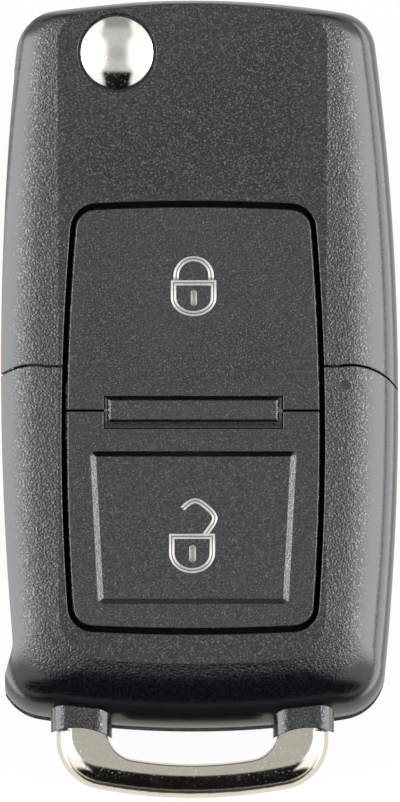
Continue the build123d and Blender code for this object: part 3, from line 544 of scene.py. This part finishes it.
def arc(centre, half_width, half_height, start, end, steps):
    """Points on an ellipse, counted from +X towards +Y."""
    return [
        (centre[0] + half_width * cos(radians(start + (end - start) * step / steps)),
         centre[1] + half_height * sin(radians(start + (end - start) * step / steps)))
        for step in range(steps + 1)
    ]


def bead_section(width, height):
    """Outline of a raised line with two round ridges and a shallow valley, as (across, up)."""
    half = ((0.50, 0.0), (0.49, 0.5), (0.45, 0.85), (0.38, 1.0), (0.28, 0.95), (0.20, 0.75), (0.13, 0.6))
    points = [(-across * width, up * height) for across, up in half]
    return points + [(-across, up) for across, up in reversed(points)]


def bridge(mesh, first, second):
    """Faces from each side of one closed ring of vertices to the same side of the next."""
    corners = zip(first, first[1:] + first[:1], second[1:] + second[:1], second)
    return [mesh.faces.new(side) for side in corners]


def add_bead(mesh, path, closed, width, height, level):
    """Sweeps a raised line along a path on the key, with mitred corners."""
    section = bead_section(width, height)
    count = len(path)
    rings = []
    for index, point in enumerate(path):
        before = path[index - 1] if index or closed else None
        after = path[(index + 1) % count] if index < count - 1 or closed else None
        ways = []
        for first, second in ((before, point), (point, after)):
            if first is not None and second is not None:
                way = Vector((second[0] - first[0], second[1] - first[1]))
                ways.append(way.normalized())
        across = sum(ways, Vector((0, 0))).normalized()
        mitre = 1 / max(0.5, across.dot(ways[0]))
        normal = Vector((-across.y, across.x))
        rings.append([
            mesh.verts.new((
                point[0] + normal.x * offset * mitre, point[1] + normal.y * offset * mitre, level + rise,
            ))
            for offset, rise in section
        ])
    pairs = list(zip(rings, rings[1:])) + ([(rings[-1], rings[0])] if closed else [])
    for first, second in pairs:
        # On a symbol, the middle face of each step, in the valley, takes the darker ink: painted shade.
        bridge(mesh, first, second)[len(section) // 2 - 1].material_index = 1
    if not closed:
        mesh.faces.new(rings[0])
        mesh.faces.new(reversed(rings[-1]))


def add_pad(mesh, outline, height, level):
    """Raised island with a round ridge about a shallow valley."""
    middle = Vector((sum(x for x, _ in outline), sum(y for _, y in outline))) / len(outline)
    rings = []
    for share, rise in ((1.0, -0.2), (1.0, 0.4), (0.92, 0.9), (0.80, 1.0), (0.66, 0.9), (0.50, 0.6)):
        rings.append([
            mesh.verts.new((middle.x + (x - middle.x) * share, middle.y + (y - middle.y) * share,
                            level + height * rise))
            for x, y in outline
        ])
    for first, second in zip(rings, rings[1:]):
        for face in bridge(mesh, first, second):
            face.material_index = 2
    for ring in (rings[-1], reversed(rings[0])):
        mesh.faces.new(ring).material_index = 2


def placed_mesh(name, mesh, *materials):
    """Object with a mesh and its materials, linked to the scene."""
    data = bpy.data.meshes.new(name)
    mesh.to_mesh(data)
    mesh.free()
    for material in materials:
        data.materials.append(material)
    item = bpy.data.objects.new(name, data)
    bpy.context.scene.collection.objects.link(item)
    return item


def riding_mesh(name, mesh, body, slot, *materials):
    """Smooth piece of a mesh that moves with a body."""
    bmesh.ops.recalc_face_normals(mesh, faces=mesh.faces)
    piece = placed_mesh(name, mesh, *materials)
    piece.data.shade_smooth()
    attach(piece, body)


def padlock_body(left, right, top, bend, bottom):
    """Closed line of a padlock's body: a bar on top and a round lower end, in picture points."""
    middle = (left + right) / 2
    half = (right - left) / 2
    points = [(left, top), (right, top)]
    points += arc((middle, bend), half, bottom - bend, 0, 180, CURVE_STEPS["body"])
    return [on_face(x, y) for x, y in points]


def capsule(left, right, top, bottom):
    """Outline of an upright keyhole, in picture points."""
    half = (right - left) / 2
    middle = (left + right) / 2
    points = arc((middle, bottom - half), half, half, 0, 180, CURVE_STEPS["keyhole"])
    points += arc((middle, top + half), half, half, 180, 360, CURVE_STEPS["keyhole"])
    return [on_face(x, y) for x, y in points]


def closed_shackle(middle, half_width, height, foot):
    """Line of a closed shackle: an arch with two short feet, in picture points."""
    feet = [(middle[0] + side * half_width, foot) for side in (-1, 1)]
    points = [feet[0], *arc(middle, half_width, height, 180, 360, CURVE_STEPS["shackle"]), feet[1]]
    return [on_face(x, y) for x, y in points]


def smooth_path(points, steps):
    """Curve through all the given points."""
    path = []
    for index in range(len(points) - 1):
        a = Vector(points[max(index - 1, 0)])
        b = Vector(points[index])
        c = Vector(points[index + 1])
        d = Vector(points[min(index + 2, len(points) - 1)])
        for step in range(steps):
            t = step / steps
            bend = (2 * a - 5 * b + 4 * c - d) * t * t
            twist = (3 * b - a - 3 * c + d) * t * t * t
            path.append(tuple(0.5 * (2 * b + (c - a) * t + bend + twist)))
    path.append(tuple(points[-1]))
    return path


def face_level(node, place):
    """Height of a node's face at a place, met from above."""
    bpy.context.view_layer.update()
    hit, location, _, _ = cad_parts[node].ray_cast(Vector((*place, 1.0)), Vector((0, 0, -1)))
    if not hit:
        raise RuntimeError(f"there is no face of {node} at {place}")
    return location.z


def top_level(place):
    """Height of whatever lies on top at a place, or 0 where there is nothing."""
    deps = bpy.context.evaluated_depsgraph_get()
    return bpy.context.scene.ray_cast(deps, Vector((*place, 1.0)), Vector((0, 0, -1)))[1].z


def groove_edges(middle, way, low):
    """Inner and outer side of the groove round the keys along one direction, or None at a seam."""
    reach = min(mm(limit) / abs(part) for limit, part in zip(GROOVE_REACH, way) if abs(part) > 1e-6)
    step = mm(SEARCH_STEP)
    crossings = []
    was_low = False
    for index in range(SEARCH_STEPS):
        distance = reach - index * step
        is_low = top_level((middle[0] + way[0] * distance, middle[1] + way[1] * distance)) < low
        if is_low != was_low:
            crossings.append(distance)
            was_low = is_low
    narrow, wide = GROOVE_WIDTHS
    if len(crossings) != 2 or not mm(narrow) < crossings[0] - crossings[1] < mm(wide):
        return None
    return crossings[1] + step, crossings[0]


def symbol_inks(name, silver):
    """Inks of a symbol's ridges, of the valley between them, darkened as painted shade, and of its keyhole.
    """
    # The valley's ink is the silver darkened: painted shade between the ridges.
    shares = (("silver", 1.0), ("valley", 0.34), ("pad", 0.5))
    return [metallic_ink(f"{name}_{place}", shade(silver, share)) for place, share in shares]


def make_padlock(symbol, name, key, level, body, shackle, keyhole):
    """Padlock in raised lines on a key: its body and keyhole in picture points, its shackle on the face."""
    mesh = bmesh.new()
    add_bead(mesh, padlock_body(**body), True, symbol.line, symbol.height, level)
    add_bead(mesh, shackle, False, symbol.line, symbol.height, level)
    add_pad(mesh, capsule(**keyhole), symbol.height, level)
    riding_mesh(f"{name}_symbol", mesh, key, "chrome_plate", *symbol_inks(name, tuple(symbol.silver)))


# Operators


class KEYREMOTE_OT_case(bpy.types.Operator):
    """Grained plastic on the four case halves"""
    bl_idname = "keyremote.case"
    bl_label = "Finish the case"

    def execute(self, context):
        case = context.scene.key_remote.case
        grained = moulded("case_grain", tuple(case.colour), case.grain, case.grain_height, case.roughness,
                          edge_radius=0.16, smooth_sides=True, gloss=case.gloss)
        dress(grained, "head_front", "head_rear", "remote_front", "remote_rear")
        return {"FINISHED"}


class KEYREMOTE_OT_keys(bpy.types.Operator):
    """Grained plastic on the keys and their bridge, and rubber on the mat under them"""
    bl_idname = "keyremote.keys"
    bl_label = "Finish the keys"

    def execute(self, context):
        case = context.scene.key_remote.case
        colour = tuple(case.key_colour)
        grained = moulded("key_grain", colour, case.grain, case.grain_height, case.roughness,
                          gloss=case.gloss + 0.15)
        dress(grained, "lock_key", "unlock_key")
        glossy = moulded("bridge_grain", colour, case.grain, case.grain_height, case.roughness - 0.02,
                         edge_radius=0.2, gloss=case.gloss + 0.28)
        dress(glossy, "key_bridge")
        dress(silicone("mat_silicone", tuple(case.silicone_colour)), "key_gasket")
        return {"FINISHED"}


class KEYREMOTE_OT_chrome(bpy.types.Operator):
    """Chrome plating on the release button and the key ring loop"""
    bl_idname = "keyremote.chrome"
    bl_label = "Finish the chrome pieces"

    def execute(self, context):
        metal = context.scene.key_remote.metal
        dress(plated("button_chrome", tuple(metal.chrome), metal.chrome_roughness), "release_button")
        # The loop's plating gets painted shade along its edges.
        painted_edge_light = plated("loop_chrome", tuple(metal.loop), metal.chrome_roughness + 0.02, edge_radius=0.26,
                      edge_shade=0.85)
        dress(painted_edge_light, "key_ring_loop")
        return {"FINISHED"}


class KEYREMOTE_OT_blade(bpy.types.Operator):
    """Steel and zinc on the blade, its hub, pin, spring and the head's screw"""
    bl_idname = "keyremote.blade"
    bl_label = "Finish the blade and its pivot"

    def execute(self, context):
        metal = context.scene.key_remote.metal
        steel = tuple(metal.steel)
        dress(brushed("blade_steel", steel), "blade")
        dress(cast("hub_zinc", tuple(metal.zinc)), "blade_hub")
        dress(brushed("pin_steel", shade(steel, 0.8), along=(1.0, 1.0, 0.05), size=0.06), "blade_pin")
        dress(brushed("spring_wire", shade(steel, 0.5), along=(0.4, 0.4, 1.0), roughness=0.34), "flip_spring")
        low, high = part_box("head_screw")
        centre = ((low.x + high.x) / 2, (low.y + high.y) / 2, low.z)
        dress(turned("screw_steel", shade(steel, 0.45), centre, pitch=0.12), "head_screw")
        return {"FINISHED"}


class KEYREMOTE_OT_electronics(bpy.types.Operator):
    """Laminate, chips, switches and coil on the circuit board, and the transponder block"""
    bl_idname = "keyremote.electronics"
    bl_label = "Finish the electronics"

    def execute(self, context):
        metal = context.scene.key_remote.metal
        nickel = tuple(metal.nickel)
        dress(board_laminate("board_green"), "circuit_board")
        low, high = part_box("control_chip")
        epoxy = moulded_chip("chip_epoxy", srgb(34, 34, 36), low.y + mm(0.9), high.y - mm(0.9), nickel)
        dress(epoxy, "control_chip")
        dress(brushed("resonator_can", nickel, size=0.08, roughness=0.3), "resonator")
        low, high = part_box("antenna_coil")
        dress(wound_coil("coil_copper", low.x + mm(0.7), high.x - mm(0.7)), "antenna_coil")
        low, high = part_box("board_parts")
        dress(small_parts("chip_ceramic", (low.x + mm(0.8), high.x - mm(0.8)), mm(0.5)), "board_parts")
        cover = brushed("switch_cover", shade(nickel, 0.85), along=(1.0, 0.1, 1.0), size=0.07, roughness=0.34)
        dress(cover, "lock_switch", "unlock_switch")
        plunger = moulded("plunger_plastic", srgb(44, 42, 40), mm(0.1), mm(0.005), 0.4, edge_radius=0.05)
        dress(plunger, "lock_plunger", "unlock_plunger")
        dress(fired_block("transponder_block", srgb(40, 38, 40)), "transponder")
        return {"FINISHED"}


class KEYREMOTE_OT_supply(bpy.types.Operator):
    """Nickel on the coin cell and its two contacts"""
    bl_idname = "keyremote.supply"
    bl_label = "Finish the cell and its contacts"

    def execute(self, context):
        nickel = tuple(context.scene.key_remote.metal.nickel)
        low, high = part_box("coin_cell")
        centre = ((low.x + high.x) / 2, (low.y + high.y) / 2, (low.z + high.z) / 2)
        dress(turned("cell_nickel", nickel, centre, pitch=0.3, roughness=0.24), "coin_cell")
        springy = brushed("contact_nickel", nickel, along=(1.0, 0.05, 0.05), size=0.06, roughness=0.22)
        dress(springy, "positive_contact", "negative_contact")
        return {"FINISHED"}


class KEYREMOTE_OT_lock_symbol(bpy.types.Operator):
    """Closed padlock in raised silver lines on the lock key"""
    bl_idname = "keyremote.lock_symbol"
    bl_label = "Make the closed padlock"

    def execute(self, context):
        make_padlock(context.scene.key_remote.symbol, "lock", "lock_key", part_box("lock_key")[1].z,
                     LOCK_BODY, closed_shackle(**LOCK_SHACKLE), LOCK_KEYHOLE)
        return {"FINISHED"}


class KEYREMOTE_OT_unlock_symbol(bpy.types.Operator):
    """Open padlock in raised silver lines on the unlock key"""
    bl_idname = "keyremote.unlock_symbol"
    bl_label = "Make the open padlock"

    def execute(self, context):
        shackle = smooth_path([on_face(x, y) for x, y in UNLOCK_SHACKLE], CURVE_STEPS["open_shackle"])
        level = face_level("unlock_key", on_face(*UNLOCK_MIDDLE))
        make_padlock(context.scene.key_remote.symbol, "unlock", "unlock_key", level,
                     UNLOCK_BODY, shackle, UNLOCK_KEYHOLE)
        return {"FINISHED"}


class KEYREMOTE_OT_groove(bpy.types.Operator):
    """Black strip deep in the groove round the keys, as painted shade"""
    bl_idname = "keyremote.groove"
    # The strip made here is painted shade, a black ring in the groove.
    bl_label = "Make the groove's painted shade"

    def execute(self, context):
        case = context.scene.key_remote.case
        middle = on_face(*GROOVE_MIDDLE)
        top = face_level("lock_key", on_face(*KEY_FACE_PLACE))
        bottom = top - mm(GROOVE_SHADE_BOTTOM)
        mesh = bmesh.new()
        rings = []
        for turn in range(GROOVE_SHADE_TURNS):
            angle = 2 * pi * turn / GROOVE_SHADE_TURNS
            way = cos(angle), sin(angle)
            edges = groove_edges(middle, way, top - mm(GROOVE_DEPTH))
            if edges is None:
                continue
            inner, outer = edges
            rings.append([
                mesh.verts.new((middle[0] + way[0] * distance, middle[1] + way[1] * distance, bottom + rise))
                for distance, rise in (
                    (inner, 0), (inner, mm(GROOVE_SHADE_THICKNESS)), (outer, mm(GROOVE_SHADE_THICKNESS)), (outer, 0),
                )
            ])
        for first, second in zip(rings, rings[1:] + rings[:1]):
            bridge(mesh, first, second)
        # Painted shade: a black strip laid in the groove so that its depth reads dark.
        riding_mesh("groove_shade_strip", mesh, "case", "silicone",
                    silicone("groove_shade_black", tuple(case.silicone_colour)))
        return {"FINISHED"}


class KEYREMOTE_OT_seam(bpy.types.Operator):
    """Black strip of painted shade in the case's seam where the blade lies under it"""
    bl_idname = "keyremote.seam"
    # The strip made here is painted shade, black in the seam gap.
    bl_label = "Make the seam's painted shade"

    def execute(self, context):
        case = context.scene.key_remote.case
        blade_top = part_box("blade")[1].z
        fewest, most = SEAM_OPEN_ROWS
        path = []
        for column in SEAM_COLUMNS:
            open_rows = [
                row for row in SEAM_ROWS if top_level(on_face(column, row)) < blade_top + mm(BLADE_MARGIN)
            ]
            if fewest <= len(open_rows) <= most:
                path.append(on_face(column, sum(open_rows) / len(open_rows)))
        mesh = bmesh.new()
        add_bead(mesh, path, False, mm(SEAM_SHADE_WIDTH), mm(SEAM_SHADE_HEIGHT), blade_top + mm(SEAM_SHADE_LIFT))
        # Painted shade: a black strip in the seam, so that the blade under it no longer shows.
        riding_mesh("seam_shade_strip", mesh, "case", "silicone",
                    silicone("seam_shade_black", tuple(case.silicone_colour)))
        return {"FINISHED"}


class KEYREMOTE_OT_mark(bpy.types.Operator):
    """Round dimple that an ejector pin leaves beside the keys"""
    bl_idname = "keyremote.mark"
    bl_label = "Make the ejector mark"

    def execute(self, context):
        case = context.scene.key_remote.case
        middle = on_face(*MARK_PLACE)
        mesh = bmesh.new()
        rings = []
        for ring in range(MARK_RINGS):
            share = 1 - ring / MARK_RINGS
            radius = mm(MARK_RADIUS) * share
            places = arc(middle, radius, radius, 0, 360, MARK_TURNS)[:-1]
            rings.append([mark_vertex(mesh, place, share) for place in places])
        centre = mark_vertex(mesh, middle, 0)
        for first, second in zip(rings, rings[1:]):
            bridge(mesh, first, second)
        for index in range(MARK_TURNS):
            mesh.faces.new((rings[-1][index], rings[-1][(index + 1) % MARK_TURNS], centre))
        riding_mesh("ejector_mark", mesh, "case", "case_plastic",
                    fired_block("mark_plastic", shade(case.colour, 2.4)))
        return {"FINISHED"}


def mark_vertex(mesh, place, share):
    """Vertex of the ejector mark, at a share of its radius: it stands just off the face and dips inwards."""
    rise = mm(MARK_RISE) * (MARK_MIDDLE_SHARE + (1 - MARK_MIDDLE_SHARE) * share)
    return mesh.verts.new((*place, face_level("remote_front", place) + rise))


class KEYREMOTE_OT_stage(bpy.types.Operator):
    """Pale floor, side lights, studio surround and the camera over the key face"""
    bl_idname = "keyremote.stage"
    bl_label = "Make the stage"

    def execute(self, context):
        stage = context.scene.key_remote.stage
        make_floor(tuple(stage.floor))
        make_surround(context.scene, stage.side_light, stage.overhead)
        for side in (-1, 1):
            make_low_strip(side, stage.side_light)
        make_dark_card()
        make_camera(context.scene, stage.distance)
        context.scene.view_settings.view_transform = "Standard"
        return {"FINISHED"}


def make_floor(colour):
    """Round floor that the camera sees as plain white and that keeps the object's shadow."""
    straight_glow, mirrored_glow, glow_share = (1, 1, 1), (0.74, 0.715, 0.68), 0.93
    mesh = bmesh.new()
    bmesh.ops.create_circle(mesh, cap_ends=True, segments=96, radius=FLOOR_RADIUS)
    finish = Finish("floor_paper", Base_Color=colour, Roughness=0.9)
    path = finish.put("ShaderNodeLightPath").outputs
    mirrored = path["Is Glossy Ray"]
    glow = finish.put("ShaderNodeEmission", {"Color": finish.mix(mirrored, straight_glow, mirrored_glow)})
    seen = finish.math("MAXIMUM", path["Is Camera Ray"], path["Is Transmission Ray"])
    share = finish.math("MULTIPLY", finish.math("MAXIMUM", seen, mirrored), glow_share)
    mixed = finish.put("ShaderNodeMixShader", {
        0: share, 1: finish.shader.outputs["BSDF"], 2: glow.outputs["Emission"],
    })
    finish.tree.links.new(mixed.outputs["Shader"], finish.tree.nodes["Material Output"].inputs["Surface"])
    floor = placed_mesh("floor", mesh, finish.material)


def make_dark_card():
    """Black card on the floor past the loop, which only the mirroring faces see."""
    mesh = bmesh.new()
    mesh.faces.new([mesh.verts.new((x, y, CARD_LEVEL)) for x, y in CARD_CORNERS])
    card = placed_mesh("dark_card", mesh, silicone("card_felt", srgb(8, 8, 8)))
    card.visible_camera = card.visible_diffuse = card.visible_shadow = card.visible_transmission = False


def make_low_strip(side, brightness):
    """Flat light on the floor beside the object, which its sides mirror."""
    data = bpy.data.lights.new("low_strip", "AREA")
    data.shape = "RECTANGLE"
    data.size, data.size_y = STRIP_SIZE
    data.energy = brightness * STRIP_SHARE * pi * data.size * data.size_y
    lamp = bpy.data.objects.new("low_strip", data)
    lamp.location = (side * STRIP_PLACE[0], *STRIP_PLACE[1:])
    lamp.rotation_euler = (pi, 0, 0)
    lamp.visible_camera = False
    bpy.context.scene.collection.objects.link(lamp)


def make_surround(scene, side_light, overhead):
    """Studio of a grey ceiling, a long bright box on either side with paler ends, and a dark end wall."""
    world = bpy.data.worlds.new("studio")
    world.use_nodes = True
    scene.world = world
    world.node_tree.nodes.clear()
    studio = Nodes(world.node_tree)
    math, spread, mix = studio.math, studio.spread, studio.mix
    way = studio.split(studio.put("ShaderNodeTexCoord").outputs["Generated"])
    x, y, z = way["X"], way["Y"], way["Z"]
    flat = math("SQRT", math("ADD", math("MULTIPLY", x, x), math("MULTIPLY", z, z)))
    lean = math("DIVIDE", math("ABSOLUTE", x), flat)
    along = math("ABSOLUTE", y)
    box = math("MULTIPLY", spread(lean, 0.16, 0.85), spread(along, 0.20, 0.475, 1.0, 0.0))
    box_end = math("MULTIPLY", spread(lean, 0.34, 0.50), spread(along, 0.70, 0.78, 1.0, 0.0))
    ceiling = (overhead, overhead * 0.985, overhead * 0.96)
    far_wall, near_wall, end_light = 0.30, 0.006, 1.05
    colour = mix(spread(z, 0.97, 0.995), ceiling, tuple(0.8 * channel for channel in ceiling))
    for share, light in (
        (spread(y, 0.55, 0.70), far_wall), (spread(y, -0.50, -0.41, 1.0, 0.0), near_wall),
        (box_end, end_light), (box, side_light),
    ):
        colour = mix(share, colour, (light, light, light))
    path = studio.put("ShaderNodeLightPath").outputs
    straight = math("MAXIMUM", path["Is Camera Ray"], path["Is Transmission Ray"])
    background = studio.put("ShaderNodeBackground", {"Color": mix(straight, colour, (1, 1, 1))})
    studio.put("ShaderNodeOutputWorld", {"Surface": background.outputs["Background"]})


def make_camera(scene, distance):
    """Camera straight above the key face, as far off as a long lens needs."""
    data = bpy.data.cameras.new("camera")
    data.sensor_fit = "VERTICAL"
    data.sensor_height = SENSOR_HEIGHT
    data.lens = SENSOR_HEIGHT * distance / mm(PICTURE_PX[1] * MM_PER_PX)
    data.clip_end = 20
    camera = bpy.data.objects.new("camera", data)
    x, y = on_face(PICTURE_PX[0] / 2, PICTURE_PX[1] / 2)
    middle_level = (CAD_BOX[0][2] + CAD_BOX[1][2]) / 2
    camera.location = (x, y, middle_level + distance)
    scene.collection.objects.link(camera)
    scene.camera = camera


class KEYREMOTE_PT_panel(bpy.types.Panel):
    bl_idname = "KEYREMOTE_PT_panel"
    bl_label = "Folding Key Remote"
    bl_space_type = "VIEW_3D"
    bl_region_type = "UI"
    bl_category = "Key Remote"

    def draw(self, context):
        settings = context.scene.key_remote
        for group in (settings.case, settings.metal, settings.symbol, settings.stage):
            box = self.layout.box()
            for name in group.bl_rna.properties.keys():
                if name not in ("rna_type", "name"):
                    box.prop(group, name)
        for operator in OPERATORS:
            self.layout.operator(operator.bl_idname)


SETTINGS = (CaseSettings, MetalSettings, SymbolSettings, StageSettings, RemoteSettings)
OPERATORS = (
    KEYREMOTE_OT_case, KEYREMOTE_OT_keys, KEYREMOTE_OT_chrome, KEYREMOTE_OT_blade, KEYREMOTE_OT_electronics,
    KEYREMOTE_OT_supply, KEYREMOTE_OT_lock_symbol, KEYREMOTE_OT_unlock_symbol, KEYREMOTE_OT_groove,
    KEYREMOTE_OT_seam, KEYREMOTE_OT_mark, KEYREMOTE_OT_stage,
)
CLASSES = (*SETTINGS, *OPERATORS, KEYREMOTE_PT_panel)


def register():
    for item in CLASSES:
        bpy.utils.register_class(item)
    bpy.types.Scene.key_remote = PointerProperty(type=RemoteSettings)


def unregister():
    del bpy.types.Scene.key_remote
    for item in reversed(CLASSES):
        bpy.utils.unregister_class(item)


def main():
    register()
    bpy.ops.keyremote.case()
    bpy.ops.keyremote.keys()
    bpy.ops.keyremote.chrome()
    bpy.ops.keyremote.blade()
    bpy.ops.keyremote.electronics()
    bpy.ops.keyremote.supply()
    bpy.ops.keyremote.lock_symbol()
    bpy.ops.keyremote.unlock_symbol()
    bpy.ops.keyremote.groove()
    bpy.ops.keyremote.seam()
    bpy.ops.keyremote.mark()
    bpy.ops.keyremote.stage()


if __name__ == "__main__":
    main()
